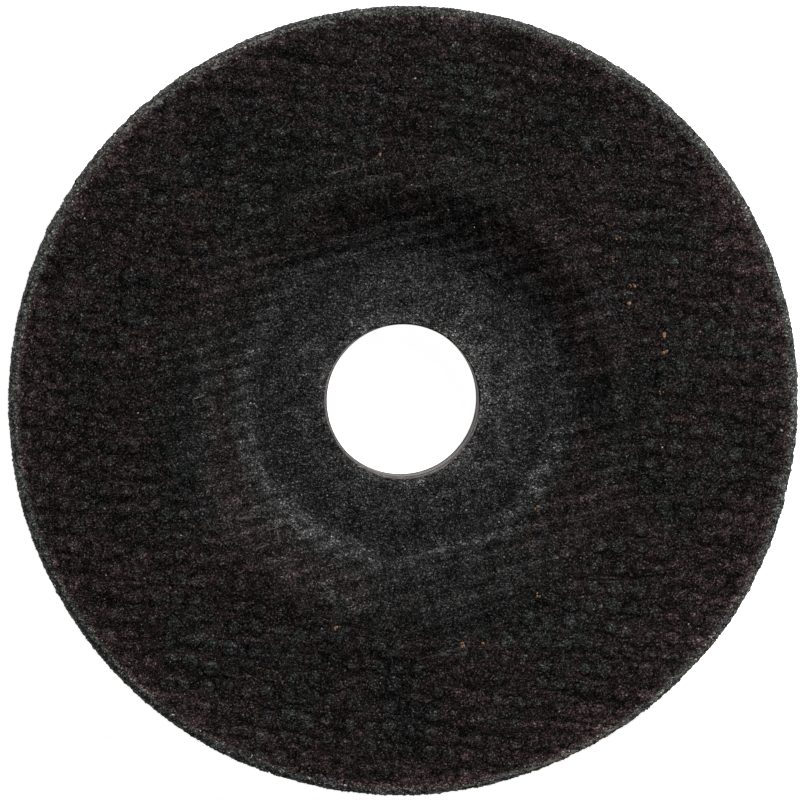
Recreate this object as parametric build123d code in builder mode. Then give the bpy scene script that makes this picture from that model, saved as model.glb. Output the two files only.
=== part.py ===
from build123d import *
import os

# Depressed-centre grinding disc, 115 x 6 x 22.23 mm, for an angle grinder.
#
# Frame: the bore's axis is Z, and z = 0 is the steel ring's rear flange, which sits
# on the grinder's inner flange.  +Z points to the working side, where the hub is
# sunk below the grinding face.  All lengths are in millimetres.
#
# The disc is a pressed stack.  From the rear: a steel bore ring with a flange, a
# paper label, a thin grit face, glass cloth, the rear abrasive layer, glass cloth,
# the front abrasive layer with a small hub ply in it, glass cloth, and the thin
# grit face that does the first cutting.  Every cloth is two sets of flat glass
# yarns, one set lying across the other, and each set is bedded in the layer on its
# own side.  The cloth discs are cut a little smaller than the mould, so the grit
# closes over their ends at the rim.

# ------------------------------------------------------------------ sizes
disc_radius = 57.5          # 115 mm disc
grind_thickness = 6.0       # thickness of the flat grinding ring
hub_thickness = 5.6         # hub between the flanges, ring included
recess_depth = 5.0          # hub floor below the grinding face
floor_corner_r = 21.6       # where floor and cone would meet if sharp
lip_corner_r = 31.0         # where cone and grinding face would meet if sharp
floor_fillet = 4.0
lip_fillet = 3.4
rear_hub_z = 0.1            # the ring's flange stands this proud of the hub
rear_corner_r = 22.2        # rear hub face to rear cone
rear_shoulder_r = 30.85     # rear cone to rear of the grinding ring
rear_corner_fillet = 2.0
rear_shoulder_fillet = 3.0
rim_front_radius = 1.1      # broken outer edge on the working side
rim_rear_radius = 0.6

front_floor_z = hub_thickness
front_face_z = front_floor_z + recess_depth
rear_face_z = front_face_z - grind_thickness

# steel bore ring: a thin tube with a flange rolled out on the rear face
bore_radius = 22.23 / 2
ring_wall = 0.485
ring_outer = bore_radius + ring_wall
ring_height = 5.3           # its front end stops just under the hub floor
flange_radius = 15.0
flange_thickness = 0.45
flange_edge = 0.12

# paper label on the rear, pressed flush
label_inner_r = 15.3
label_outer_r = 50.0
label_thickness = 0.2

# levels of the three cloths, at the hub and on the grinding ring
rear_cloth_hub_z = 0.8
rear_cloth_face_z = rear_face_z + 0.7
centre_cloth_hub_z = 2.9
centre_cloth_face_z = 7.6
front_cloth_hub_z = front_floor_z - 0.5
front_cloth_face_z = front_face_z - 0.5
centre_corner_r = 21.9
centre_shoulder_r = 30.93

# yarns
yarn_thickness = 0.2
coarse_pitch = 5.0
coarse_width = 1.7
fine_pitch = 2.5
fine_width = 0.95
rear_cloth_angle = -22.0
centre_cloth_angle = 38.0
front_cloth_angle = 14.5
coarse_count = 23
fine_count = 46
yarn_length = 2.2 * disc_radius
cloth_radius = disc_radius - 0.6

# small reinforcing ply round the hub
hub_ply_radius = 35.0
hub_ply_top = 0.32          # below the front cloth's level
hub_ply_thickness = 0.25

over = disc_radius + 2.5    # layers are drawn past the rim, then trimmed to it
above = front_face_z + 3.0

os.makedirs("parts", exist_ok=True)

# ------------------------------------------------------------------ pressed outline
# The outside of the finished stack, which every layer is trimmed to.
with BuildPart() as outline:
    with BuildSketch(Plane.XZ):
        with BuildLine():
            FilletPolyline(
                (ring_outer, rear_hub_z),
                (rear_corner_r, rear_hub_z),
                (rear_shoulder_r, rear_face_z),
                (disc_radius, rear_face_z),
                (disc_radius, front_face_z),
                (lip_corner_r, front_face_z),
                (floor_corner_r, front_floor_z),
                (ring_outer, front_floor_z),
                radius=[
                    rear_corner_fillet,
                    rear_shoulder_fillet,
                    rim_rear_radius,
                    rim_front_radius,
                    lip_fillet,
                    floor_fillet,
                ],
            )
            Line((ring_outer, front_floor_z), (ring_outer, rear_hub_z))
        make_face()
    revolve(axis=Axis.Z)

# ------------------------------------------------------------------ steel bore ring
with BuildPart() as arbor_ring:
    with BuildSketch(Plane.XZ):
        with BuildLine():
            Polyline(
                (bore_radius, 0),
                (flange_radius - flange_edge, 0),
                (flange_radius, flange_edge),
                (flange_radius, flange_thickness),
                (ring_outer, flange_thickness),
                (ring_outer, ring_height),
                (bore_radius, ring_height),
                close=True,
            )
        make_face()
    revolve(axis=Axis.Z)
    front_end = arbor_ring.edges().filter_by(GeomType.CIRCLE).group_by(Axis.Z)[-1]
    fillet(front_end, radius=0.15)
arbor_ring.part.label = "arbor_ring"
export_step(arbor_ring.part, "parts/arbor_ring.step")

# ------------------------------------------------------------------ paper label
with BuildPart() as rear_label:
    with BuildSketch(Plane.XZ):
        with BuildLine():
            FilletPolyline(
                (label_inner_r, rear_hub_z),
                (rear_corner_r, rear_hub_z),
                (rear_shoulder_r, rear_face_z),
                (label_outer_r, rear_face_z),
                radius=[rear_corner_fillet, rear_shoulder_fillet],
            )
            Line((label_outer_r, rear_face_z), (label_outer_r, rear_face_z + label_thickness))
            FilletPolyline(
                (label_outer_r, rear_face_z + label_thickness),
                (rear_shoulder_r, rear_face_z + label_thickness),
                (rear_corner_r, rear_hub_z + label_thickness),
                (label_inner_r, rear_hub_z + label_thickness),
                radius=[rear_shoulder_fillet, rear_corner_fillet],
            )
            Line((label_inner_r, rear_hub_z + label_thickness), (label_inner_r, rear_hub_z))
        make_face()
    revolve(axis=Axis.Z)
rear_label.part.label = "rear_label"
export_step(rear_label.part, "parts/rear_label.step")

# ------------------------------------------------------------------ rear glass cloth
# Weft yarns lie below the cloth's level, warp yarns above it.
with BuildPart() as rear_cloth_weft:
    with BuildSketch(Plane.XZ):
        with BuildLine():
            Polyline(
                (ring_outer, rear_cloth_hub_z - yarn_thickness),
                (rear_corner_r, rear_cloth_hub_z - yarn_thickness),
                (rear_shoulder_r, rear_cloth_face_z - yarn_thickness),
                (cloth_radius, rear_cloth_face_z - yarn_thickness),
                (cloth_radius, rear_cloth_face_z),
                (rear_shoulder_r, rear_cloth_face_z),
                (rear_corner_r, rear_cloth_hub_z),
                (ring_outer, rear_cloth_hub_z),
                close=True,
            )
        make_face()
    revolve(axis=Axis.Z)
    with BuildSketch(Plane.XY.rotated((0, 0, rear_cloth_angle + 90))):
        with GridLocations(coarse_pitch, coarse_pitch, coarse_count, 1):
            Rectangle(coarse_width, yarn_length)
    extrude(amount=above, mode=Mode.INTERSECT)
rear_cloth_weft.part.label = "rear_cloth_weft"
export_step(rear_cloth_weft.part, "parts/rear_cloth_weft.step")

with BuildPart() as rear_cloth_warp:
    with BuildSketch(Plane.XZ):
        with BuildLine():
            Polyline(
                (ring_outer, rear_cloth_hub_z),
                (rear_corner_r, rear_cloth_hub_z),
                (rear_shoulder_r, rear_cloth_face_z),
                (cloth_radius, rear_cloth_face_z),
                (cloth_radius, rear_cloth_face_z + yarn_thickness),
                (rear_shoulder_r, rear_cloth_face_z + yarn_thickness),
                (rear_corner_r, rear_cloth_hub_z + yarn_thickness),
                (ring_outer, rear_cloth_hub_z + yarn_thickness),
                close=True,
            )
        make_face()
    revolve(axis=Axis.Z)
    with BuildSketch(Plane.XY.rotated((0, 0, rear_cloth_angle))):
        with GridLocations(coarse_pitch, coarse_pitch, coarse_count, 1):
            Rectangle(coarse_width, yarn_length)
    extrude(amount=above, mode=Mode.INTERSECT)
rear_cloth_warp.part.label = "rear_cloth_warp"
export_step(rear_cloth_warp.part, "parts/rear_cloth_warp.step")

# ------------------------------------------------------------------ centre glass cloth
with BuildPart() as centre_cloth_weft:
    with BuildSketch(Plane.XZ):
        with BuildLine():
            Polyline(
                (ring_outer, centre_cloth_hub_z - yarn_thickness),
                (centre_corner_r, centre_cloth_hub_z - yarn_thickness),
                (centre_shoulder_r, centre_cloth_face_z - yarn_thickness),
                (cloth_radius, centre_cloth_face_z - yarn_thickness),
                (cloth_radius, centre_cloth_face_z),
                (centre_shoulder_r, centre_cloth_face_z),
                (centre_corner_r, centre_cloth_hub_z),
                (ring_outer, centre_cloth_hub_z),
                close=True,
            )
        make_face()
    revolve(axis=Axis.Z)
    with BuildSketch(Plane.XY.rotated((0, 0, centre_cloth_angle + 90))):
        with GridLocations(coarse_pitch, coarse_pitch, coarse_count, 1):
            Rectangle(coarse_width, yarn_length)
    extrude(amount=above, mode=Mode.INTERSECT)
centre_cloth_weft.part.label = "centre_cloth_weft"
export_step(centre_cloth_weft.part, "parts/centre_cloth_weft.step")

with BuildPart() as centre_cloth_warp:
    with BuildSketch(Plane.XZ):
        with BuildLine():
            Polyline(
                (ring_outer, centre_cloth_hub_z),
                (centre_corner_r, centre_cloth_hub_z),
                (centre_shoulder_r, centre_cloth_face_z),
                (cloth_radius, centre_cloth_face_z),
                (cloth_radius, centre_cloth_face_z + yarn_thickness),
                (centre_shoulder_r, centre_cloth_face_z + yarn_thickness),
                (centre_corner_r, centre_cloth_hub_z + yarn_thickness),
                (ring_outer, centre_cloth_hub_z + yarn_thickness),
                close=True,
            )
        make_face()
    revolve(axis=Axis.Z)
    with BuildSketch(Plane.XY.rotated((0, 0, centre_cloth_angle))):
        with GridLocations(coarse_pitch, coarse_pitch, coarse_count, 1):
            Rectangle(coarse_width, yarn_length)
    extrude(amount=above, mode=Mode.INTERSECT)
centre_cloth_warp.part.label = "centre_cloth_warp"
export_step(centre_cloth_warp.part, "parts/centre_cloth_warp.step")

# ------------------------------------------------------------------ front glass cloth
# A finer cloth just under the working face.
with BuildPart() as front_cloth_weft:
    with BuildSketch(Plane.XZ):
        with BuildLine():
            Polyline(
                (ring_outer, front_cloth_hub_z - yarn_thickness),
                (floor_corner_r, front_cloth_hub_z - yarn_thickness),
                (lip_corner_r, front_cloth_face_z - yarn_thickness),
                (cloth_radius, front_cloth_face_z - yarn_thickness),
                (cloth_radius, front_cloth_face_z),
                (lip_corner_r, front_cloth_face_z),
                (floor_corner_r, front_cloth_hub_z),
                (ring_outer, front_cloth_hub_z),
                close=True,
            )
        make_face()
    revolve(axis=Axis.Z)
    with BuildSketch(Plane.XY.rotated((0, 0, front_cloth_angle))):
        with GridLocations(fine_pitch, fine_pitch, fine_count, 1):
            Rectangle(fine_width, yarn_length)
    extrude(amount=above, mode=Mode.INTERSECT)
front_cloth_weft.part.label = "front_cloth_weft"
export_step(front_cloth_weft.part, "parts/front_cloth_weft.step")

with BuildPart() as front_cloth_warp:
    with BuildSketch(Plane.XZ):
        with BuildLine():
            Polyline(
                (ring_outer, front_cloth_hub_z),
                (floor_corner_r, front_cloth_hub_z),
                (lip_corner_r, front_cloth_face_z),
                (cloth_radius, front_cloth_face_z),
                (cloth_radius, front_cloth_face_z + yarn_thickness),
                (lip_corner_r, front_cloth_face_z + yarn_thickness),
                (floor_corner_r, front_cloth_hub_z + yarn_thickness),
                (ring_outer, front_cloth_hub_z + yarn_thickness),
                close=True,
            )
        make_face()
    revolve(axis=Axis.Z)
    with BuildSketch(Plane.XY.rotated((0, 0, front_cloth_angle + 90))):
        with GridLocations(fine_pitch, fine_pitch, fine_count, 1):
            Rectangle(fine_width, yarn_length)
    extrude(amount=above, mode=Mode.INTERSECT)
front_cloth_warp.part.label = "front_cloth_warp"
export_step(front_cloth_warp.part, "parts/front_cloth_warp.step")

# ------------------------------------------------------------------ hub ply
with BuildPart() as hub_cloth:
    with BuildSketch(Plane.XZ):
        with BuildLine():
            Polyline(
                (ring_outer, front_cloth_hub_z - hub_ply_top - hub_ply_thickness),
                (floor_corner_r, front_cloth_hub_z - hub_ply_top - hub_ply_thickness),
                (lip_corner_r, front_cloth_face_z - hub_ply_top - hub_ply_thickness),
                (hub_ply_radius, front_cloth_face_z - hub_ply_top - hub_ply_thickness),
                (hub_ply_radius, front_cloth_face_z - hub_ply_top),
                (lip_corner_r, front_cloth_face_z - hub_ply_top),
                (floor_corner_r, front_cloth_hub_z - hub_ply_top),
                (ring_outer, front_cloth_hub_z - hub_ply_top),
                close=True,
            )
        make_face()
    revolve(axis=Axis.Z)
hub_cloth.part.label = "hub_cloth"
export_step(hub_cloth.part, "parts/hub_cloth.step")

# ------------------------------------------------------------------ bonded layers
# Thin grit face on the rear, between the label and the rear cloth.
with BuildPart() as rear_face_grit:
    with BuildSketch(Plane.XZ):
        with BuildLine():
            Polyline(
                (ring_outer, -3),
                (over, -3),
                (over, rear_cloth_face_z),
                (rear_shoulder_r, rear_cloth_face_z),
                (rear_corner_r, rear_cloth_hub_z),
                (ring_outer, rear_cloth_hub_z),
                close=True,
            )
        make_face()
    revolve(axis=Axis.Z)
    add(outline.part, mode=Mode.INTERSECT)
    add(rear_label.part, mode=Mode.SUBTRACT)
    add(arbor_ring.part, mode=Mode.SUBTRACT)
    add(rear_cloth_weft.part, mode=Mode.SUBTRACT)
rear_face_grit.part.label = "rear_face_grit"
export_step(rear_face_grit.part, "parts/rear_face_grit.step")

with BuildPart() as rear_abrasive:
    with BuildSketch(Plane.XZ):
        with BuildLine():
            Polyline(
                (ring_outer, rear_cloth_hub_z),
                (rear_corner_r, rear_cloth_hub_z),
                (rear_shoulder_r, rear_cloth_face_z),
                (disc_radius, rear_cloth_face_z),
                (disc_radius, centre_cloth_face_z),
                (centre_shoulder_r, centre_cloth_face_z),
                (centre_corner_r, centre_cloth_hub_z),
                (ring_outer, centre_cloth_hub_z),
                close=True,
            )
        make_face()
    revolve(axis=Axis.Z)
    add(rear_cloth_warp.part, mode=Mode.SUBTRACT)
    add(centre_cloth_weft.part, mode=Mode.SUBTRACT)
rear_abrasive.part.label = "rear_abrasive"
export_step(rear_abrasive.part, "parts/rear_abrasive.step")

with BuildPart() as front_abrasive:
    with BuildSketch(Plane.XZ):
        with BuildLine():
            Polyline(
                (ring_outer, centre_cloth_hub_z),
                (centre_corner_r, centre_cloth_hub_z),
                (centre_shoulder_r, centre_cloth_face_z),
                (over, centre_cloth_face_z),
                (over, front_cloth_face_z),
                (lip_corner_r, front_cloth_face_z),
                (floor_corner_r, front_cloth_hub_z),
                (ring_outer, front_cloth_hub_z),
                close=True,
            )
        make_face()
    revolve(axis=Axis.Z)
    add(outline.part, mode=Mode.INTERSECT)
    add(centre_cloth_warp.part, mode=Mode.SUBTRACT)
    add(front_cloth_weft.part, mode=Mode.SUBTRACT)
    add(hub_cloth.part, mode=Mode.SUBTRACT)
front_abrasive.part.label = "front_abrasive"
export_step(front_abrasive.part, "parts/front_abrasive.step")

# Thin grit face on the working side, over the front cloth.
with BuildPart() as front_face_grit:
    with BuildSketch(Plane.XZ):
        with BuildLine():
            Polyline(
                (ring_outer, front_cloth_hub_z),
                (floor_corner_r, front_cloth_hub_z),
                (lip_corner_r, front_cloth_face_z),
                (over, front_cloth_face_z),
                (over, above),
                (ring_outer, above),
                close=True,
            )
        make_face()
    revolve(axis=Axis.Z)
    add(outline.part, mode=Mode.INTERSECT)
    add(front_cloth_warp.part, mode=Mode.SUBTRACT)
front_face_grit.part.label = "front_face_grit"
export_step(front_face_grit.part, "parts/front_face_grit.step")
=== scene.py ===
import bpy
import math
import numpy as np
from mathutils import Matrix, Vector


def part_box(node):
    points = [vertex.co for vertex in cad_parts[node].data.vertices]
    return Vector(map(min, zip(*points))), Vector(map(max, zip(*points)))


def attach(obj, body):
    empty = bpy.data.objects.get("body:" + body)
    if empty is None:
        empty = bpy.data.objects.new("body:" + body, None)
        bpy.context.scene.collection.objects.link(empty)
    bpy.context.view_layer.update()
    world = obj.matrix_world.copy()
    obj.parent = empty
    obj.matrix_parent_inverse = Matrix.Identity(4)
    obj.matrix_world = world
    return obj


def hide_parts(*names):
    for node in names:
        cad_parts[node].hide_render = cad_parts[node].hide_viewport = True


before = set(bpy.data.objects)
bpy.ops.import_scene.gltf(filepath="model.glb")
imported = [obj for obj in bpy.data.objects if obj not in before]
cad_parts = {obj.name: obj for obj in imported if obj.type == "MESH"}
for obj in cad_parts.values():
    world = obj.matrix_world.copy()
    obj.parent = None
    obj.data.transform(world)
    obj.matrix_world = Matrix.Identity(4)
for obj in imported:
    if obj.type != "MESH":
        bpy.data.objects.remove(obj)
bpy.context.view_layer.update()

scene = bpy.context.scene
MM = 0.001

# ------------------------------------------------------------------ sizes, in mm, from the CAD nodes
R_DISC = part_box("rear_abrasive")[1].x / MM
Z_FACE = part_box("front_face_grit")[1].z / MM
Z_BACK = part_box("front_face_grit")[1].z / MM - 6.0
R_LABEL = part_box("rear_label")[1].x / MM
Z_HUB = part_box("rear_label")[0].z / MM
R_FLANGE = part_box("arbor_ring")[1].x / MM
Z_FLOOR = Z_FACE - 5.0
R_TUBE = 11.6
R_BORE = 11.115
T_LABEL = 0.2
Z_S1, Z_S2, Z_S3 = Z_BACK + 0.7, 7.6, Z_FACE - 0.5      # cloth levels on the grinding ring
H_S1, H_S2, H_S3 = 0.8, 2.9, Z_FLOOR - 0.5             # and at the hub
CLOTH_ANGLE = math.radians(14.5)
GRID_ANGLE = math.radians(-7.0)
GRID_PITCH = 3.02
NT = 1480                 # vertices round each detailed ring


# ------------------------------------------------------------------ noise
def hash3(i, j, k, seed):
    n = (i * 374761393 + j * 668265263 + k * 2147483647 + seed * 1442695041) & 0xFFFFFFFF
    n = ((n ^ (n >> 13)) * 1274126177) & 0xFFFFFFFF
    n = ((n ^ (n >> 15)) * 2246822519) & 0xFFFFFFFF
    return ((n ^ (n >> 16)) & 0xFFFFFF) / float(0xFFFFFF)


def noise(p, cell, seed):
    """Value noise in -1..1 at points p, an array of (..., 3) in mm."""
    q = p / cell
    f = np.floor(q)
    i = f.astype(np.int64)
    t = q - f
    t = t * t * (3 - 2 * t)
    out = 0
    for dx in (0, 1):
        wx = t[..., 0] if dx else 1 - t[..., 0]
        for dy in (0, 1):
            wy = t[..., 1] if dy else 1 - t[..., 1]
            for dz in (0, 1):
                wz = t[..., 2] if dz else 1 - t[..., 2]
                out = out + wx * wy * wz * hash3(i[..., 0] + dx, i[..., 1] + dy, i[..., 2] + dz, seed)
    return out * 2 - 1


def fbm(p, cell, seed, octaves=3, gain=0.5):
    total, amp, norm = 0, 1.0, 0.0
    for o in range(octaves):
        total = total + amp * noise(p, cell / 2 ** o, seed + 17 * o)
        norm += amp
        amp *= gain
    return total / norm


def smooth(lo, hi, v):
    t = np.clip((v - lo) / (hi - lo), 0, 1)
    return t * t * (3 - 2 * t)


# ------------------------------------------------------------------ outline of the pressed disc
def rounded(points, radii):
    """A polyline in (r, z) with each inner corner rounded, sampled finely."""
    out = [np.array(points[0], float)]
    for n in range(1, len(points) - 1):
        a, b, c = (np.array(points[n + k], float) for k in (-1, 0, 1))
        u, v = (a - b) / np.linalg.norm(a - b), (c - b) / np.linalg.norm(c - b)
        turn = math.pi - math.acos(float(np.clip(u @ v, -1, 1)))
        t = radii[n - 1] * math.tan(turn / 2)
        start, end = b + u * t, b + v * t
        centre = b + (u + v) / np.linalg.norm(u + v) * radii[n - 1] / math.cos(turn / 2)
        steps = 24
        a0 = math.atan2(*(start - centre)[::-1])
        a1 = math.atan2(*(end - centre)[::-1])
        d = (a1 - a0 + math.pi) % (2 * math.pi) - math.pi
        for s in range(steps + 1):
            w = a0 + d * s / steps
            out.append(centre + radii[n - 1] * np.array([math.cos(w), math.sin(w)]))
    out.append(np.array(points[-1], float))
    return np.array(out)


OUTLINE = rounded(
    [
        (R_TUBE, Z_FLOOR),
        (21.6, Z_FLOOR),
        (31.0, Z_FACE),
        (R_DISC, Z_FACE),
        (R_DISC, Z_BACK),
        (30.85, Z_BACK),
        (22.2, Z_HUB),
        (15.05, Z_HUB),
    ],
    [4.0, 3.4, 1.1, 0.6, 3.0, 2.0],
)
LENGTH = np.concatenate([[0], np.cumsum(np.linalg.norm(np.diff(OUTLINE, axis=0), axis=1))])


def outline_at(s):
    """Point (r, z) and outward normal of the outline at arc length s."""
    r = np.interp(s, LENGTH, OUTLINE[:, 0])
    z = np.interp(s, LENGTH, OUTLINE[:, 1])
    e = 0.04
    dr = np.interp(s + e, LENGTH, OUTLINE[:, 0]) - np.interp(s - e, LENGTH, OUTLINE[:, 0])
    dz = np.interp(s + e, LENGTH, OUTLINE[:, 1]) - np.interp(s - e, LENGTH, OUTLINE[:, 1])
    n = np.hypot(dr, dz) + 1e-12
    return r, z, -dz / n, dr / n


def s_where(r=None, z=None, part="front"):
    """Arc length where the outline reaches a radius on the front or rear, or a height on the rim."""
    top = int(np.argmax(OUTLINE[:, 0] > R_DISC - 1e-6))
    low = len(OUTLINE) - 1 - int(np.argmax(OUTLINE[::-1, 0] > R_DISC - 1e-6))
    if z is not None:
        zs = OUTLINE[:, 1]
        keep = np.arange(len(zs))
        m = (keep >= top - 24) & (keep <= low + 24) & (OUTLINE[:, 0] > R_DISC - 1.2)
        return float(np.interp(-z, -zs[m], LENGTH[m]))
    if part == "front":
        m = np.arange(len(OUTLINE)) <= top
        return float(np.interp(r, OUTLINE[m, 0], LENGTH[m]))
    m = np.arange(len(OUTLINE)) >= low
    return float(np.interp(-r, -OUTLINE[m, 0], LENGTH[m]))


# ------------------------------------------------------------------ relief, in mm along the outline's normal
rng = np.random.default_rng(115)
chip_angle = rng.uniform(0, 2 * math.pi, 90)
chip_z = Z_FACE - 0.25 - rng.exponential(1.3, 90)
chip_size = rng.uniform(0.35, 1.25, 90)
chip_deep = chip_size * rng.uniform(0.15, 0.34, 90)
OUT_OF_ROUND = [0, 0.12, 0.33, 0, -0.24, 0.03, 0, 0.10, 0.2, -0.1, -0.2, 0.06]      # mm, every 30 degrees


def waffle(x, y):
    """Moulded round bumps on a square grid, 0..1."""
    c, s = math.cos(GRID_ANGLE), math.sin(GRID_ANGLE)
    u = (x * c + y * s) / GRID_PITCH + 0.35
    v = (-x * s + y * c) / GRID_PITCH + 0.2
    iu, iv = np.floor(u).astype(np.int64), np.floor(v).astype(np.int64)
    zero = np.zeros_like(iu)
    ju = 0.5 + (hash3(iu, iv, zero, 5) - 0.5) * 0.26
    jv = 0.5 + (hash3(iu, iv, zero, 6) - 0.5) * 0.26
    size = 0.72 + 0.36 * hash3(iu, iv, zero, 7)
    tall = 0.18 + 1.0 * hash3(iu, iv, zero, 8)
    d = np.hypot(u - iu - ju, v - iv - jv) * GRID_PITCH / size
    return tall * np.clip(1 - (d / 1.12) ** 2, 0, 1) ** 0.7, d


def yarns(x, y, angle, pitch, shift):
    """One set of yarns as rounded ridges 0..1, and the place along them."""
    c, s = math.cos(angle), math.sin(angle)
    along = x * c + y * s
    across = (-x * s + y * c) / pitch + shift
    n = np.floor(across).astype(np.int64)
    t = across - n - 0.5
    lean = 0.75 + 0.5 * hash3(n, n * 0, n * 0, 31)
    ridge = np.clip(1 - (np.abs(t) / 0.34) ** 2, 0, 1)
    strand = 0.5 + 0.5 * np.cos(t * 2 * math.pi * 3)
    return ridge * (0.72 + 0.28 * strand) * lean, along / pitch, n


def weave(x, y):
    """The front cloth showing through: strong yarns one way, weaker ones across."""
    a, along, n = yarns(x, y, CLOTH_ANGLE, 2.5, 0.5)
    b, across, m = yarns(x, y, CLOTH_ANGLE + math.pi / 2, 2.5, 0.5)
    over = 0.5 + 0.5 * np.cos(math.pi * (np.floor(along + 0.5) + n))
    return a * (0.75 + 0.25 * over), b * (0.55 + 0.45 * (1 - over))


def streaks(x, y, angle, seed, long=3.6, wide=0.55):
    """Noise drawn out along one direction, -1..1."""
    c, s = math.cos(angle), math.sin(angle)
    q = np.stack([(x * c + y * s) / long, (-x * s + y * c) / wide, np.zeros_like(x)], -1)
    return noise(q, 1.0, seed)


def round_table(theta, values):
    """Value by direction, from one entry every 30 degrees."""
    v = np.array(list(values) + [values[0]])
    return np.interp(np.degrees(theta) % 360, np.arange(len(v)) * 360 / (len(v) - 1), v)


def relief(p, s, r, jitter):
    """Height above the outline at points p. jitter is white noise, 0 on the rows that two pieces share."""
    x, y, z = p[..., 0], p[..., 1], p[..., 2]
    front = (s < S_RIM0)
    h = 0.052 * noise(p, 1.3, 11) + 0.034 * noise(p, 0.6, 12) + 0.050 * noise(p, 4.2, 13)
    # working face
    ring = smooth(33.0, 36.5, r) * (1 - smooth(55.6, 56.9, r)) * front
    h = h + ring * (0.25 * waffle(x, y)[0] - 0.07 + 0.045 * streaks(x, y, GRID_ANGLE, 15))
    a, b = weave(x, y)
    cloth = front * (0.30 + 0.70 * smooth(21.0, 23.0, r) * (1 - 0.62 * smooth(33.0, 40.0, r)))
    cloth = cloth * (0.65 + 0.5 * noise(p, 9.0, 14))
    h = h + cloth * (0.115 * a + 0.065 * b - 0.05 + 0.05 * streaks(x, y, CLOTH_ANGLE, 16))
    # scuffed ring at the foot of the cone, and cracked resin on the hub floor
    hub = front * (1 - smooth(20.6, 21.8, r))
    crack = np.abs(noise(p, 1.05, 21)) + 0.55 * np.abs(noise(p, 0.5, 22))
    h = h - hub * 0.10 * (1 - smooth(0.05, 0.22, crack))
    scuff = front * smooth(21.2, 22.0, r) * (1 - smooth(23.6, 24.6, r))
    h = h - scuff * 0.03 * (1 + noise(p, 0.8, 23))
    # crumbled edge of the bore
    edge = front * (1 - smooth(R_TUBE, R_TUBE + 0.45, r))
    h = h - edge * (0.16 + 0.14 * noise(p, 0.9, 24))
    # pits left by lost grains
    pit = np.clip(noise(p, 0.8, 25) - 0.62, 0, 1) / 0.38
    h = h - 0.13 * pit * np.where(front, 1.0, 0.7)
    # rim: coarse broken grit, scallops and chips
    rim = smooth(S_RIM0 - 1.2, S_RIM0 + 0.2, s) * (1 - smooth(S_RIM1 - 0.2, S_RIM1 + 1.0, s))
    worn = 0.75 + 0.5 * smooth(-20.0, 60.0, -x * 0.8 + y * 0.6)
    h = h + rim * worn * (0.10 * noise(p, 3.6, 41) + 0.085 * noise(p, 1.15, 42) + 0.08 * noise(p, 0.5, 43) - 0.04)
    theta = np.arctan2(y, x)
    h = h + smooth(54.5, 57.0, r) * round_table(theta, OUT_OF_ROUND)
    for n in range(len(chip_angle)):
        d = np.abs((theta - chip_angle[n] + math.pi) % (2 * math.pi) - math.pi) * R_DISC
        near = d < chip_size[n]
        if not near.any():
            continue
        q = (d / chip_size[n]) ** 2 + ((z - chip_z[n]) / (0.8 * chip_size[n])) ** 2
        h = h - rim * np.where(near, chip_deep[n] * np.clip(1 - q, 0, 1), 0)
    # white noise stands for single grains
    grain = np.where(front, np.where(r < 21.5, 0.022, 0.040), 0.050) + 0.030 * rim
    return h + jitter * grain


S_RIM0 = s_where(r=R_DISC - 1.1)
S_RIM1 = s_where(r=R_DISC - 0.6, part="rear")
S_A, S_B, S_C, S_D = 0.0, s_where(r=22.0), s_where(r=33.5), s_where(r=45.6)
S_E = s_where(z=Z_S3)
S_F = s_where(z=Z_S2)
S_G = s_where(z=Z_S1)
S_END = float(LENGTH[-1])


def bore_edge(theta):
    """The pressed face's inner edge: resin flash creeps over the ring's end in places."""
    p = np.stack([12 * np.cos(theta), 12 * np.sin(theta), 0 * theta], -1)
    cover = 0.20 + 0.16 * np.cos(theta - math.radians(48)) + 0.08 * noise(p, 4.0, 51) + 0.05 * noise(p, 1.2, 52)
    return R_TUBE - np.clip(cover, 0.02, 0.42)


def mesh_piece(name, P, attrs, nodes, material, smooth_rows=None):
    nt, ns = P.shape[:2]
    I, J = np.meshgrid(np.arange(nt), np.arange(ns), indexing="ij")
    I1, J1 = (I + 1) % nt, (J + 1) % ns
    quads = np.stack([I * ns + J, I * ns + J1, I1 * ns + J1, I1 * ns + J], -1).reshape(-1, 4)
    mesh = bpy.data.meshes.new(name)
    mesh.vertices.add(nt * ns)
    mesh.vertices.foreach_set("co", (P.reshape(-1, 3) * MM).astype(np.float32).ravel())
    mesh.loops.add(quads.size)
    mesh.loops.foreach_set("vertex_index", quads.astype(np.int32).ravel())
    mesh.polygons.add(len(quads))
    mesh.polygons.foreach_set("loop_start", np.arange(0, quads.size, 4, dtype=np.int32))
    mesh.polygons.foreach_set("loop_total", np.full(len(quads), 4, dtype=np.int32))
    for key, value in attrs.items():
        layer = mesh.attributes.new(key, "FLOAT", "POINT")
        layer.data.foreach_set("value", np.broadcast_to(value, (nt, ns)).astype(np.float32).ravel())
    mesh.update(calc_edges=True)
    mesh.validate()
    if smooth_rows:
        mesh.polygons.foreach_set("use_smooth", np.ones(len(quads), dtype=bool))
    mesh.materials.append(material)
    ob = bpy.data.objects.new(name, mesh)
    scene.collection.objects.link(ob)
    if nodes:
        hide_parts(*nodes)
    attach(ob, "root")
    return ob


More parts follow.
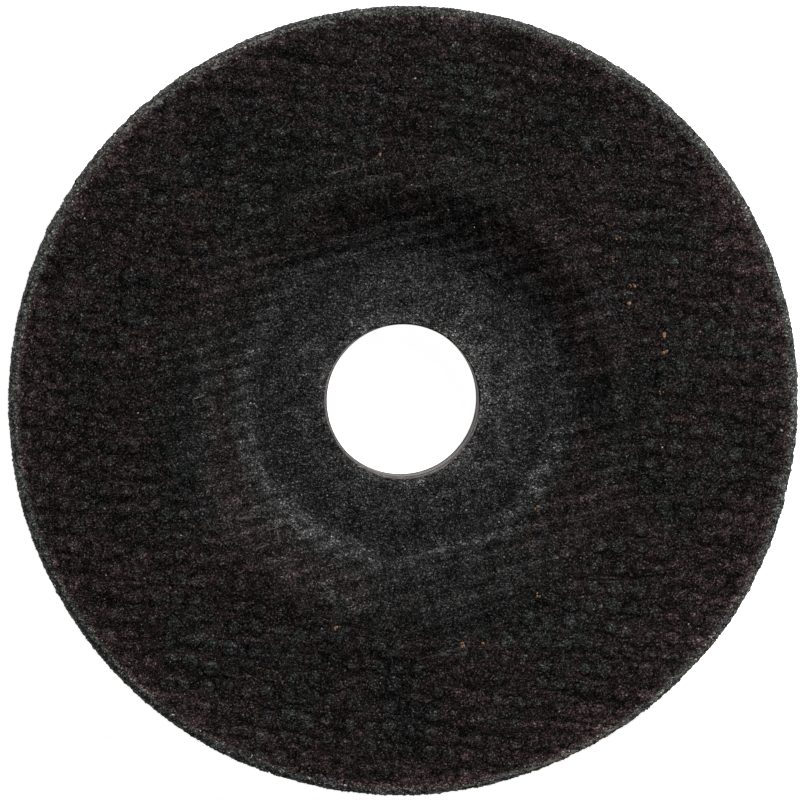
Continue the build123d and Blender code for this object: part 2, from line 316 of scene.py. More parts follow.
def tones(p, r, s, h):
    """Brightness, warmth and greyness of the grit at each vertex, which the material multiplies in; the brightness also
    holds painted light and shade by direction round the disc.
    """
    x, y, z = p[..., 0], p[..., 1], p[..., 2]
    front = s < S_RIM0
    tone = np.interp(r, TONE_R, TONE_V)
    tone = np.where(front, tone, np.where(s < S_RIM1, 7.0, 1.35))
    theta = np.arctan2(y, x)
    # painted light and shade round the rim: the worn rim band is made lighter on some sides and darker on others, by
    # direction
    worn = smooth(55.9, 56.8, r) * (s < S_RIM1 + 0.6)
    tone = tone * (1 + worn * (round_table(theta, RIM_PAINTED_LIGHT) - 1))
    # the cloth layers show round the rim as broken paler lines
    side = (s > S_RIM0 + 0.5) & (s < S_RIM1)
    for k, level in enumerate((Z_S1, Z_S2, Z_S3)):
        ends = streaks(theta * R_DISC, z, 0.0, 91 + k, long=0.9, wide=3.0)
        thread = np.exp(-((z - level - 0.10 * np.sin(theta * 9 + k)) / 0.20) ** 2) * smooth(-0.25, 0.35, ends)
        tone = tone * (1 + side * thread * 0.75)
    # painted light and shade by direction round the disc: the hub floor, the scuffed ring, the cone's slope and the
    # grinding ring are each made lighter on some sides and darker on others; the scuffed ring's table also holds its
    # uneven wear
    hub = front * (1 - smooth(18.0, 21.0, r))
    scuff = front * smooth(21.0, 22.2, r) * (1 - smooth(23.6, 26.0, r))
    slope = front * smooth(24.5, 26.0, r) * (1 - smooth(31.0, 34.0, r))
    ring = smooth(33.0, 36.5, r) * (1 - smooth(55.6, 56.6, r)) * front
    for weight, table in ((hub, HUB_PAINTED_LIGHT), (scuff, SCUFF_WEAR_AND_PAINTED_LIGHT), (slope, SLOPE_PAINTED_SHADE), (ring, RING_PAINTED_LIGHT)):
        tone = tone * (1 + weight * (round_table(theta, table) - 1))
    crack = np.abs(noise(p, 1.05, 21)) + 0.55 * np.abs(noise(p, 0.5, 22))
    tone = tone * (1 - 0.55 * hub * (1 - smooth(0.05, 0.25, crack)))
    a, b = weave(x, y)
    cloth = front * (0.20 + 0.80 * smooth(21.0, 23.0, r) * (1 - 0.7 * smooth(33.0, 42.0, r)))
    tone = tone * np.clip(1 + cloth * (0.85 * a + 0.45 * b - 0.36 + 0.42 * streaks(x, y, CLOTH_ANGLE, 16)), 0.1, 4)
    w, d = waffle(x, y)
    cap = np.clip(w / 0.34, 0, 1)
    # painted shade: a dark ring round the foot of each bump, where the bump meets the flat
    foot_shade = np.exp(-((d - 1.22) / 0.18) ** 2)
    tone = tone * np.clip(1 + ring * (0.66 * cap - 0.23 - 0.58 * foot_shade + 0.65 * streaks(x, y, GRID_ANGLE, 15)), 0.1, 4)
    rough = front * 1.0
    tone = tone * np.clip(1 + rough * ((0.46 - 0.2 * ring) * noise(p, 2.4, 61) + (0.42 - 0.22 * ring) * noise(p, 1.0, 66) + 0.20 * noise(p, 9.0, 62)), 0.15, 3)
    patch = noise(p, 8.0, 64)
    warm = 0.62 + ring * (0.20 - 0.68 * cap) + 0.80 * patch + 0.45 * noise(p, 2.3, 63) + 0.55 * smooth(47.0, 54.0, r) * front
    warm = warm * (1 - 0.75 * smooth(55.6, 56.6, r))
    ash = front * np.clip(1 - smooth(23.5, 27.0, r) + 0.35 * (1 - smooth(30.0, 36.0, r)), 0, 1)
    return np.clip(tone, 0.06, 30), np.clip(warm, 0, 1), ash


TONE_R = [11, 12.3, 12.9, 15, 19, 20.8, 21.6, 22.4, 23.6, 24.6, 27, 30, 33, 40, 50, 54.5, 55.6, 56.2, 56.7, 57.1, 57.6]
TONE_V = [5.0, 4.4, 2.4, 2.3, 1.5, 1.35, 1.6, 1.85, 1.9, 1.5, 1.16, 1.25, 1.13, 1.16, 1.15, 1.42, 1.85, 3.7, 9.3, 15.0, 17.0]
# painted light and shade round the rim, one entry every 30 degrees
RIM_PAINTED_LIGHT = [0.92, 0.74, 0.68, 0.66, 0.86, 1.05, 1.2, 1.08, 0.93, 1.08, 1.75, 0.98]
# painted light and shade by direction for the hub floor, scuffed ring, slope and grinding ring, one entry every 30
# degrees
HUB_PAINTED_LIGHT = [1.6, 1.6, 1.65, 1.5, 1.15, 1.3, 0.9, 0.76, 1.0, 1.04, 1.04, 1.3]
SCUFF_WEAR_AND_PAINTED_LIGHT = [1.44, 1.5, 1.14, 1.1, 1.22, 1.35, 1.46, 1.69, 1.76, 1.15, 1.48, 2.4]
SLOPE_PAINTED_SHADE = [1.14, 1.35, 0.86, 0.68, 0.95, 1.05, 1.14, 1.08, 1.34, 0.84, 1.45, 1.5]
RING_PAINTED_LIGHT = [0.99, 1.08, 0.70, 0.92, 0.76, 1.02, 0.90, 1.09, 1.11, 1.04, 1.34, 1.08]


def common_row(at, nt):
    """The same wobble for the row that two neighbouring pieces share, on either count of vertices."""
    g = np.random.default_rng(int(round(at * 1000)))
    coarse = NT // 2 if at < S_B + 1e-6 else NT
    ds = g.uniform(-0.06, 0.06, coarse) if 0 < at < S_END - 1 else np.zeros(coarse)
    dt = g.uniform(-0.3, 0.3, coarse) * 2 * math.pi / coarse
    j = g.normal(0, 1, coarse).clip(-2, 2)
    if nt > coarse:
        ds, dt, j = (np.repeat(v, 2) for v in (ds, dt, j))
    return ds, dt, j


def surface_piece(name, s0, s1, nt, ns, inner, seed, nodes, material, inner_edge=False, halve=False):
    """A closed ring piece: the detailed outer surface from s0 to s1, then the plain inner path back.

    Neighbouring pieces share the vertices of their common row. halve is for a piece whose
    first row meets one with half as many vertices.
    """
    g = np.random.default_rng(seed)
    S = np.broadcast_to(np.linspace(s0, s1, ns), (nt, ns)).copy()
    T = np.broadcast_to(np.arange(nt)[:, None] * 2 * math.pi / nt, (nt, ns)).copy()
    free = np.ones(ns)
    free[0] = free[-1] = 0
    S += g.uniform(-0.34, 0.34, S.shape) * (s1 - s0) / (ns - 1) * free
    T += g.uniform(-0.34, 0.34, T.shape) * 2 * math.pi / nt * free
    J = g.normal(0, 1, S.shape).clip(-2.2, 2.2) * free
    for row, at in ((0, s0), (ns - 1, s1)):
        wob = common_row(at, nt)
        S[:, row] += wob[0]
        T[:, row] += wob[1]
        J[:, row] = wob[2]
    r, z, nr, nz = outline_at(S)
    if inner_edge:
        want = bore_edge(T)
        w = 1 - smooth(0.0, 0.9, S)
        r = r + (want - R_TUBE) * w
    p = np.stack([r * np.cos(T), r * np.sin(T), z], -1)
    h = relief(p, S, r, J)
    q = np.stack([(r + nr * h) * np.cos(T), (r + nr * h) * np.sin(T), z + nz * h], -1)
    if halve:
        q[1::2, 0] = (q[0::2, 0] + np.roll(q[0::2, 0], -1, 0)) / 2
    tone, warm, ash = tones(p, r, S, h)
    # the path back inside the disc
    t0 = np.arange(nt) * 2 * math.pi / nt
    back = np.array(inner, float)
    B = np.stack([
        back[None, :, 0] * np.cos(t0)[:, None],
        back[None, :, 0] * np.sin(t0)[:, None],
        np.broadcast_to(back[None, :, 1], (nt, len(back))),
    ], -1)
    P = np.concatenate([q, B], 1)
    one = np.full((nt, len(back)), 1.0)
    attrs = {
        "tone": np.concatenate([tone, one], 1),
        "warm": np.concatenate([warm, one * 0.5], 1),
        "ash": np.concatenate([ash, one * 0.0], 1),
    }
    return mesh_piece(name, P, attrs, nodes, material)


# ------------------------------------------------------------------ materials
def new_material(name):
    m = bpy.data.materials.new(name)
    m.use_nodes = True
    nt = m.node_tree
    bsdf = nt.nodes["Principled BSDF"]
    return m, nt, bsdf


def node(nt, kind, **values):
    n = nt.nodes.new(kind)
    for key, value in values.items():
        if key in n.inputs.keys():
            n.inputs[key].default_value = value
        else:
            setattr(n, key, value)
    return n


def math_node(nt, op, a, b=None, clamp=False):
    n = nt.nodes.new("ShaderNodeMath")
    n.operation = op
    n.use_clamp = clamp
    for k, v in enumerate((a, b)):
        if v is None:
            continue
        if isinstance(v, (int, float)):
            n.inputs[k].default_value = v
        else:
            nt.links.new(v, n.inputs[k])
    return n.outputs[0]


def mix_colour(nt, fac, a, b, blend="MIX"):
    n = nt.nodes.new("ShaderNodeMix")
    n.data_type = "RGBA"
    n.blend_type = blend
    for k, v in ((0, fac), (6, a), (7, b)):
        if isinstance(v, (int, float)):
            n.inputs[k].default_value = v
        elif isinstance(v, tuple):
            n.inputs[k].default_value = (*v, 1.0)
        else:
            nt.links.new(v, n.inputs[k])
    return n.outputs[2]


def ramp(nt, fac, stops):
    n = nt.nodes.new("ShaderNodeValToRGB")
    while len(n.color_ramp.elements) < len(stops):
        n.color_ramp.elements.new(0.5)
    for e, (pos, value) in zip(n.color_ramp.elements, stops):
        e.position = pos
        e.color = (value, value, value, 1) if isinstance(value, (int, float)) else (*value, 1)
    nt.links.new(fac, n.inputs[0])
    return n.outputs[0]


def object_mm(nt):
    coord = nt.nodes.new("ShaderNodeTexCoord")
    scale = node(nt, "ShaderNodeVectorMath", operation="SCALE")
    scale.inputs["Scale"].default_value = 1000.0
    nt.links.new(coord.outputs["Object"], scale.inputs[0])
    return scale.outputs[0]


def grit_material(name, brown, grey, level, sparkle, seed):
    """Bonded grit: dark resin, sharp grains of uneven tone, and a few bright crystal faces."""
    m, nt, bsdf = new_material(name)
    mm = object_mm(nt)
    move = node(nt, "ShaderNodeVectorMath", operation="ADD")
    move.inputs[1].default_value = (seed * 3.7, seed * 1.9, seed * 5.3)
    nt.links.new(mm, move.inputs[0])
    at = move.outputs[0]
    grains = node(nt, "ShaderNodeTexVoronoi", Scale=3.4, Randomness=1.0)
    nt.links.new(at, grains.inputs["Vector"])
    fine = node(nt, "ShaderNodeTexVoronoi", Scale=7.5, Randomness=1.0)
    nt.links.new(at, fine.inputs["Vector"])
    dust = node(nt, "ShaderNodeTexNoise", Scale=5.0, Detail=4.0, Roughness=0.65)
    nt.links.new(at, dust.inputs["Vector"])
    split = nt.nodes.new("ShaderNodeSeparateColor")
    nt.links.new(grains.outputs["Color"], split.inputs[0])
    split2 = nt.nodes.new("ShaderNodeSeparateColor")
    nt.links.new(fine.outputs["Color"], split2.inputs[0])
    tone = node(nt, "ShaderNodeAttribute", attribute_name="tone")
    warm = node(nt, "ShaderNodeAttribute", attribute_name="warm")
    hue = math_node(nt, "ADD", math_node(nt, "MULTIPLY", math_node(nt, "SUBTRACT", split.outputs[2], 0.5), 0.25), warm.outputs["Fac"], clamp=True)
    colour = mix_colour(nt, hue, grey, brown)
    cloud = node(nt, "ShaderNodeTexNoise", Scale=0.16, Detail=3.0, Roughness=0.6)
    nt.links.new(at, cloud.inputs["Vector"])
    colour = mix_colour(nt, ramp(nt, cloud.outputs["Fac"], [(0.0, 0.0), (0.60, 0.0), (0.70, 0.6), (1.0, 0.6)]), colour, (0.0290, 0.0288, 0.0335))
    ash = node(nt, "ShaderNodeAttribute", attribute_name="ash")
    colour = mix_colour(nt, ash.outputs["Fac"], colour, (0.0302, 0.0299, 0.0296))
    # flakes of resin parted by fine dark cracks, which run mostly with the cloth
    warp = node(nt, "ShaderNodeTexNoise", Scale=3.0, Detail=2.0)
    nt.links.new(at, warp.inputs["Vector"])
    bend = node(nt, "ShaderNodeVectorMath", operation="SCALE")
    bend.inputs["Scale"].default_value = 0.45
    nt.links.new(warp.outputs["Color"], bend.inputs[0])
    bent = node(nt, "ShaderNodeVectorMath", operation="ADD")
    nt.links.new(at, bent.inputs[0])
    nt.links.new(bend.outputs[0], bent.inputs[1])
    flakes = node(nt, "ShaderNodeTexVoronoi", feature="DISTANCE_TO_EDGE", Scale=2.1, Randomness=1.0)
    nt.links.new(bent.outputs[0], flakes.inputs["Vector"])
    parted = ramp(nt, flakes.outputs["Distance"], [(0.0, 0.22), (0.08, 0.50), (0.20, 1.2), (1.0, 1.2)])
    drawn = node(nt, "ShaderNodeMapping")
    drawn.inputs["Rotation"].default_value = (0, 0, -CLOTH_ANGLE * 0.6)
    drawn.inputs["Scale"].default_value = (0.55, 1.9, 1.0)
    nt.links.new(at, drawn.inputs[0])
    crease = node(nt, "ShaderNodeTexNoise", Scale=1.0, Detail=4.0, Roughness=0.62)
    nt.links.new(drawn.outputs[0], crease.inputs["Vector"])
    away = math_node(nt, "ABSOLUTE", math_node(nt, "SUBTRACT", crease.outputs["Fac"], 0.5))
    cracked = ramp(nt, away, [(0.0, 0.16), (0.018, 0.42), (0.045, 1.15), (1.0, 1.15)])
    grain_tone = ramp(nt, split.outputs[0], [(0.0, 0.45), (0.5, 0.85), (0.85, 1.35), (1.0, 2.3)])
    fine_tone = ramp(nt, split2.outputs[1], [(0.0, 0.45), (0.6, 0.9), (0.9, 1.5), (0.97, 2.6), (1.0, 3.6)])
    dust_tone = ramp(nt, dust.outputs["Fac"], [(0.28, 0.45), (0.5, 1.0), (0.74, 1.7)])
    all_tone = math_node(nt, "MULTIPLY", math_node(nt, "MULTIPLY", grain_tone, fine_tone), dust_tone)
    all_tone = math_node(nt, "MULTIPLY", all_tone, math_node(nt, "MULTIPLY", parted, cracked))
    all_tone = math_node(nt, "MULTIPLY", math_node(nt, "MULTIPLY", all_tone, tone.outputs["Fac"]), level)
    dark = nt.nodes.new("ShaderNodeVectorMath")
    dark.operation = "SCALE"
    nt.links.new(colour, dark.inputs[0])
    nt.links.new(all_tone, dark.inputs["Scale"])
    bright = ramp(nt, split2.outputs[0], [(0.0, 0.0), (sparkle, 0.0), (min(sparkle + 0.012, 0.999), 1.0)])
    base = mix_colour(nt, math_node(nt, "MULTIPLY", bright, 0.55), dark.outputs[0], (0.16, 0.155, 0.145))
    nt.links.new(base, bsdf.inputs["Base Color"])
    rough = ramp(nt, split2.outputs[2], [(0.0, 0.38), (0.4, 0.62), (1.0, 0.85)])
    nt.links.new(rough, bsdf.inputs["Roughness"])
    nt.links.new(ramp(nt, split2.outputs[1], [(0.0, 0.03), (0.86, 0.05), (0.93, 0.45), (1.0, 0.6)]), bsdf.inputs["Specular IOR Level"])
    height = math_node(nt, "ADD",
                       math_node(nt, "MULTIPLY", grains.outputs["Distance"], -0.8),
                       math_node(nt, "MULTIPLY", fine.outputs["Distance"], -0.35))
    height = math_node(nt, "ADD", height, math_node(nt, "MULTIPLY", dust.outputs["Fac"], 0.5))
    height = math_node(nt, "ADD", height, math_node(nt, "MULTIPLY", math_node(nt, "MULTIPLY", parted, cracked), 0.5))
    bump = node(nt, "ShaderNodeBump", Strength=0.75, Distance=0.00010)
    nt.links.new(height, bump.inputs["Height"])
    nt.links.new(bump.outputs[0], bsdf.inputs["Normal"])
    return m


BROWN = (0.0412, 0.0256, 0.0248)
GREY = (0.0262, 0.0294, 0.0272)
face_mat = grit_material("face_grit", BROWN, GREY, 0.44, 0.983, 1)
rim_mat = grit_material("rim_grit", (0.042, 0.036, 0.035), (0.036, 0.036, 0.035), 0.42, 0.95, 2)
back_mat = grit_material("rear_grit", (0.040, 0.034, 0.030), (0.034, 0.034, 0.032), 0.42, 0.975, 3)


def steel_material():
    """Zinc-dull pressed steel with turning marks, scratches and a little rust, a dark dusty bore wall, and painted
    shade that deepens to near black down the bore.
    """
    m, nt, bsdf = new_material("ring_steel")
    mm = object_mm(nt)
    sep = nt.nodes.new("ShaderNodeSeparateXYZ")
    nt.links.new(mm, sep.inputs[0])
    rr = math_node(nt, "SQRT", math_node(nt, "ADD",
                   math_node(nt, "MULTIPLY", sep.outputs[0], sep.outputs[0]),
                   math_node(nt, "MULTIPLY", sep.outputs[1], sep.outputs[1])))
    comb = nt.nodes.new("ShaderNodeCombineXYZ")
    nt.links.new(math_node(nt, "MULTIPLY", rr, 9.0), comb.inputs[0])
    nt.links.new(math_node(nt, "MULTIPLY", sep.outputs[2], 9.0), comb.inputs[1])
    lines = node(nt, "ShaderNodeTexNoise", Scale=1.0, Detail=3.0, Roughness=0.6)
    nt.links.new(comb.outputs[0], lines.inputs["Vector"])
    cloud = node(nt, "ShaderNodeTexNoise", Scale=0.9, Detail=5.0, Roughness=0.6)
    nt.links.new(mm, cloud.inputs["Vector"])
    speck = node(nt, "ShaderNodeTexNoise", Scale=3.5, Detail=4.0, Roughness=0.7)
    nt.links.new(mm, speck.inputs["Vector"])
    base = ramp(nt, cloud.outputs["Fac"], [(0.3, (0.14, 0.13, 0.125)), (0.55, (0.24, 0.225, 0.215)), (0.75, (0.33, 0.31, 0.30))])
    rust = ramp(nt, speck.outputs["Fac"], [(0.0, 0.0), (0.60, 0.0), (0.70, 0.75), (1.0, 0.9)])
    base = mix_colour(nt, rust, base, (0.17, 0.085, 0.045))
    # painted shade in the bore: lower down the hole the wall is made near black, dull and less metallic
    bore = ramp(nt, math_node(nt, "DIVIDE", rr, 20.0), [(0.0, 1.0), (11.15 / 20, 1.0), (11.30 / 20, 0.0), (1.0, 0.0)])
    height = math_node(nt, "DIVIDE", sep.outputs[2], 10.0)
    blotch = math_node(nt, "ADD", height, math_node(nt, "MULTIPLY", math_node(nt, "SUBTRACT", cloud.outputs["Fac"], 0.5), 0.55))
    low = ramp(nt, blotch, [(0.0, 1.0), (0.20, 0.9), (0.36, 0.25), (0.50, 0.0)])
    painted_bore_shade = math_node(nt, "MULTIPLY", math_node(nt, "MULTIPLY", bore, low), ramp(nt, cloud.outputs["Fac"], [(0.25, 1.0), (0.75, 0.82)]))
    base = mix_colour(nt, painted_bore_shade, base, (0.020, 0.018, 0.017))
    metal = ramp(nt, speck.outputs["Fac"], [(0.0, 1.0), (0.60, 1.0), (0.72, 0.15), (1.0, 0.1)])
    metal = math_node(nt, "MULTIPLY", metal, math_node(nt, "SUBTRACT", 1.0, math_node(nt, "MULTIPLY", painted_bore_shade, 0.8)))
    end = ramp(nt, height, [(0.0, 0.0), (0.522, 0.0), (0.528, 1.0), (1.0, 1.0)])
    patchy = ramp(nt, speck.outputs["Fac"], [(0.38, 0.25), (0.60, 1.0)])
    # the rest of the bore wall is dark and dull: dust, with painted shade
    wall = math_node(nt, "MULTIPLY", bore, math_node(nt, "SUBTRACT", 1.0, low))
    base = mix_colour(nt, wall, base, (0.034, 0.029, 0.028))
    base = mix_colour(nt, math_node(nt, "MULTIPLY", end, patchy), base, (0.095, 0.081, 0.078))
    end = math_node(nt, "MAXIMUM", end, wall)
    nt.links.new(base, bsdf.inputs["Base Color"])
    metal = math_node(nt, "MULTIPLY", metal, math_node(nt, "SUBTRACT", 1.0, end))
    nt.links.new(metal, bsdf.inputs["Metallic"])
    bsdf.inputs["Specular IOR Level"].default_value = 0.1
    rough = math_node(nt, "ADD", ramp(nt, lines.outputs["Fac"], [(0.3, 0.42), (0.7, 0.62)]), math_node(nt, "MULTIPLY", painted_bore_shade, 0.3), clamp=True)
    nt.links.new(rough, bsdf.inputs["Roughness"])
    bump = node(nt, "ShaderNodeBump", Strength=0.45, Distance=0.00004)
    nt.links.new(math_node(nt, "ADD", lines.outputs["Fac"], math_node(nt, "MULTIPLY", rust, 0.8)), bump.inputs["Height"])
    nt.links.new(bump.outputs[0], bsdf.inputs["Normal"])
    return m


def yarn_material(name, colour_a, colour_b):
    """Resin-soaked glass roving: fine filaments along each yarn, straw to amber."""
    m, nt, bsdf = new_material(name)
    mm = object_mm(nt)
    stretch = node(nt, "ShaderNodeMapping")
    stretch.inputs["Rotation"].default_value = (0, 0, -CLOTH_ANGLE)
    stretch.inputs["Scale"].default_value = (0.8, 9.0, 9.0)
    nt.links.new(mm, stretch.inputs[0])
    fibre = node(nt, "ShaderNodeTexNoise", Scale=1.0, Detail=4.0, Roughness=0.65)
    nt.links.new(stretch.outputs[0], fibre.inputs["Vector"])
    soak = node(nt, "ShaderNodeTexNoise", Scale=0.6, Detail=3.0)
    nt.links.new(mm, soak.inputs["Vector"])
    base = mix_colour(nt, ramp(nt, soak.outputs["Fac"], [(0.35, 0.0), (0.65, 1.0)]), colour_a, colour_b)
    base = mix_colour(nt, 1.0, base, ramp(nt, fibre.outputs["Fac"], [(0.25, 0.55), (0.7, 1.1)]), "MULTIPLY")
    nt.links.new(base, bsdf.inputs["Base Color"])
    nt.links.new(ramp(nt, fibre.outputs["Fac"], [(0.3, 0.32), (0.7, 0.6)]), bsdf.inputs["Roughness"])
    bump = node(nt, "ShaderNodeBump", Strength=0.5, Distance=0.00004)
    nt.links.new(fibre.outputs["Fac"], bump.inputs["Height"])
    nt.links.new(bump.outputs[0], bsdf.inputs["Normal"])
    return m


def label_material():
    """Plain printed paper: a pale ground with dark and orange rings, scuffed by the press."""
    m, nt, bsdf = new_material("label_paper")
    mm = object_mm(nt)
    sep = nt.nodes.new("ShaderNodeSeparateXYZ")
    nt.links.new(mm, sep.inputs[0])
    rr = math_node(nt, "SQRT", math_node(nt, "ADD",
                   math_node(nt, "MULTIPLY", sep.outputs[0], sep.outputs[0]),
                   math_node(nt, "MULTIPLY", sep.outputs[1], sep.outputs[1])))
    wob = node(nt, "ShaderNodeTexNoise", Scale=2.5, Detail=3.0)
    nt.links.new(mm, wob.inputs["Vector"])
    rr = math_node(nt, "ADD", rr, math_node(nt, "MULTIPLY", math_node(nt, "SUBTRACT", wob.outputs["Fac"], 0.5), 0.16))
    t = math_node(nt, "DIVIDE", rr, 60.0)
    paper = (0.60, 0.575, 0.52)
    ink = (0.028, 0.029, 0.031)
    orange = (0.60, 0.165, 0.028)
    n = nt.nodes.new("ShaderNodeValToRGB")
    n.color_ramp.interpolation = "CONSTANT"
    stops = [(0.0, paper), (17.0, ink), (18.2, paper), (23.4, orange), (29.6, paper), (30.8, ink), (43.6, orange), (45.2, paper), (47.0, ink), (48.3, paper)]
    while len(n.color_ramp.elements) < len(stops):
        n.color_ramp.elements.new(0.5)
    for e, (pos, value) in zip(n.color_ramp.elements, stops):
        e.position = pos / 60.0
        e.color = (*value, 1)
    nt.links.new(t, n.inputs[0])
    blotch = node(nt, "ShaderNodeTexNoise", Scale=0.22, Detail=6.0, Roughness=0.6)
    nt.links.new(mm, blotch.inputs["Vector"])
    fibre = node(nt, "ShaderNodeTexNoise", Scale=6.0, Detail=5.0, Roughness=0.7)
    nt.links.new(mm, fibre.inputs["Vector"])
    base = mix_colour(nt, 1.0, n.outputs[0], ramp(nt, blotch.outputs["Fac"], [(0.3, 0.70), (0.55, 1.0)]), "MULTIPLY")
    base = mix_colour(nt, 1.0, base, ramp(nt, fibre.outputs["Fac"], [(0.25, 0.78), (0.6, 1.05)]), "MULTIPLY")
    rub = node(nt, "ShaderNodeAttribute", attribute_name="rub")
    worn = math_node(nt, "MULTIPLY", rub.outputs["Fac"], ramp(nt, fibre.outputs["Fac"], [(0.40, 0.15), (0.62, 1.0)]), clamp=True)
    base = mix_colour(nt, worn, base, (0.10, 0.088, 0.075))
    nt.links.new(base, bsdf.inputs["Base Color"])
    nt.links.new(ramp(nt, fibre.outputs["Fac"], [(0.3, 0.62), (0.7, 0.88)]), bsdf.inputs["Roughness"])
    bsdf.inputs["Specular IOR Level"].default_value = 0.25
    bump = node(nt, "ShaderNodeBump", Strength=0.4, Distance=0.00006)
    nt.links.new(fibre.outputs["Fac"], bump.inputs["Height"])
    nt.links.new(bump.outputs[0], bsdf.inputs["Normal"])
    return m


steel = steel_material()
yarn_mat = yarn_material("glass_yarn", (0.085, 0.076, 0.062), (0.13, 0.122, 0.105))
label_mat = label_material()

# ------------------------------------------------------------------ camera, at the photograph's angle
cam_data = bpy.data.cameras.new("camera")
cam = bpy.data.objects.new("camera", cam_data)
scene.collection.objects.link(cam)
scene.camera = cam
TILT, TOWARD, AWAY = math.radians(5.4), math.radians(139.0), 1.00
look = np.array([math.sin(TILT) * math.cos(TOWARD), math.sin(TILT) * math.sin(TOWARD), math.cos(TILT)])
target = np.array([-0.15, 0.20, 7.35]) * MM
cam.location = target + look * AWAY
z_axis = look
x_axis = np.cross([0, 1, 0], z_axis)
x_axis /= np.linalg.norm(x_axis)
y_axis = np.cross(z_axis, x_axis)
from mathutils import Matrix
cam.rotation_euler = Matrix(np.array([x_axis, y_axis, z_axis]).T.tolist()).to_euler()
cam_data.sensor_fit = "HORIZONTAL"
cam_data.sensor_width = 36.0
cam_data.lens = 0.30645 * AWAY * 1000
cam_data.clip_start, cam_data.clip_end = 0.02, 10

# ------------------------------------------------------------------ working face
def under(shift, r_from, r_to):
    """Path along the cloth level under the face, from r_from in to r_to."""
    pts = [(21.6, H_S3), (31.0, Z_S3)]
    def z_at(r):
        return float(np.interp(r, [0, 21.6, 31.0, 60], [H_S3, H_S3, Z_S3, Z_S3])) + shift
    rs = [r_from] + [q[0] for q in pts[::-1] if r_to < q[0] < r_from] + [r_to]
    return [(r, z_at(r)) for r in rs]


surface_piece("face_hub_floor", S_A, S_B, NT // 2, 92, under(0, 22.0, R_TUBE), 101, ["front_face_grit"], face_mat, inner_edge=True)
surface_piece("face_cone", S_B, S_C, NT, 63, under(0, 33.5, 22.0), 102, ["front_face_grit"], face_mat, halve=True)
surface_piece("face_ring_inner", S_C, S_D, NT, 64, under(0, 45.6, 33.5), 103, ["front_face_grit"], face_mat)
surface_piece("face_ring_outer", S_D, S_E, NT, 65, under(0, 56.2, 45.6), 104, ["front_face_grit"], face_mat)

# ------------------------------------------------------------------ rim and rear
surface_piece("front_grit_body", S_E, S_F, NT, 15,
              [(56.2, Z_S2), (30.93, Z_S2), (21.9, H_S2), (R_TUBE, H_S2), (R_TUBE, H_S3), (21.6, H_S3), (31.0, Z_S3), (56.2, Z_S3)],
              105, ["front_abrasive"], rim_mat)
surface_piece("rear_grit_body", S_F, S_G, NT, 14,
              [(56.2, Z_S1), (30.85, Z_S1), (22.2, H_S1), (R_TUBE, H_S1), (R_TUBE, H_S2), (21.9, H_S2), (30.93, Z_S2), (56.2, Z_S2)],
              106, ["rear_abrasive"], rim_mat)
S_LABEL = s_where(r=R_LABEL, part="rear")
surface_piece("rear_grit_face", S_G, S_LABEL, NT, 46,
              [(R_LABEL, Z_BACK + T_LABEL), (30.85, Z_BACK + T_LABEL), (22.2, Z_HUB + T_LABEL), (R_FLANGE + 0.3, Z_HUB + T_LABEL),
               (R_FLANGE + 0.28, Z_HUB + 0.02), (R_FLANGE + 0.03, Z_HUB + 0.02), (R_FLANGE + 0.01, 0.46), (R_TUBE, 0.46),
               (R_TUBE, H_S1), (22.2, H_S1), (30.85, Z_S1), (56.2, Z_S1)],
              107, ["rear_face_grit"], back_mat)

# ------------------------------------------------------------------ paper label
def label():
    nt, ns = 800, 96
    s0, s1 = S_LABEL, s_where(r=15.3, part="rear")
    S = np.broadcast_to(np.linspace(s0, s1, ns), (nt, ns)).copy()
    T = np.broadcast_to(np.arange(nt)[:, None] * 2 * math.pi / nt, (nt, ns)).copy()
    r, z, nr, nz = outline_at(S)
    p = np.stack([r * np.cos(T), r * np.sin(T), z], -1)
    # the paper takes the grit's print, and puckers where the cone shortens it
    pleat = np.sin(T * 62 + 2.2 * noise(p, 11.0, 71)) * smooth(22.0, 25.0, r) * (1 - smooth(29.0, 33.0, r))
    h = 0.022 * noise(p, 0.9, 72) + 0.012 * noise(p, 0.45, 73) + 0.014 * pleat + 0.02 * noise(p, 6.0, 74)
    c, s = math.cos(-0.384), math.sin(-0.384)
    for d in (p[..., 0] * c + p[..., 1] * s, -p[..., 0] * s + p[..., 1] * c):
        t = (d / 5.0) % 1.0 - 0.5
        h = h + 0.028 * np.clip(1 - (np.abs(t) / 0.2) ** 2, 0, 1)
    h = np.minimum(h, 0.085) * smooth(0.0, 0.5, S - s0 + 0.2) * smooth(0.0, 0.5, s1 - S + 0.2)
    h = np.where(z < 0.5, np.minimum(h, 0.08), h)
    edge = 0.14 * noise(p, 1.7, 75) * np.clip(1 - (S - s0) / 0.5, 0, 1)
    r = r + edge
    q = np.stack([(r + nr * h) * np.cos(T), (r + nr * h) * np.sin(T), z + nz * h], -1)
    ri, zi, nri, nzi = outline_at(S[:, ::-4])
    Ti = T[:, ::-4]
    inner = np.stack([(ri - nri * 0.16) * np.cos(Ti), (ri - nri * 0.16) * np.sin(Ti), zi - nzi * 0.16], -1)
    P = np.concatenate([q, inner], 1)
    high = np.clip(h / 0.07, 0, 1)
    rub = 0.75 * smooth(0.35, 1.0, high) * (0.5 + 0.5 * noise(p, 7.0, 76)) + 0.9 * np.clip(1 - (S - s0) / 0.7, 0, 1)
    rub = rub + 0.5 * np.abs(pleat) * (pleat > 0.5)
    attrs = {"rub": np.concatenate([np.clip(rub, 0, 1), np.zeros(inner.shape[:2])], 1)}
    return mesh_piece("label_sheet", P, attrs, ["rear_label"], label_mat, smooth_rows=True)


label()

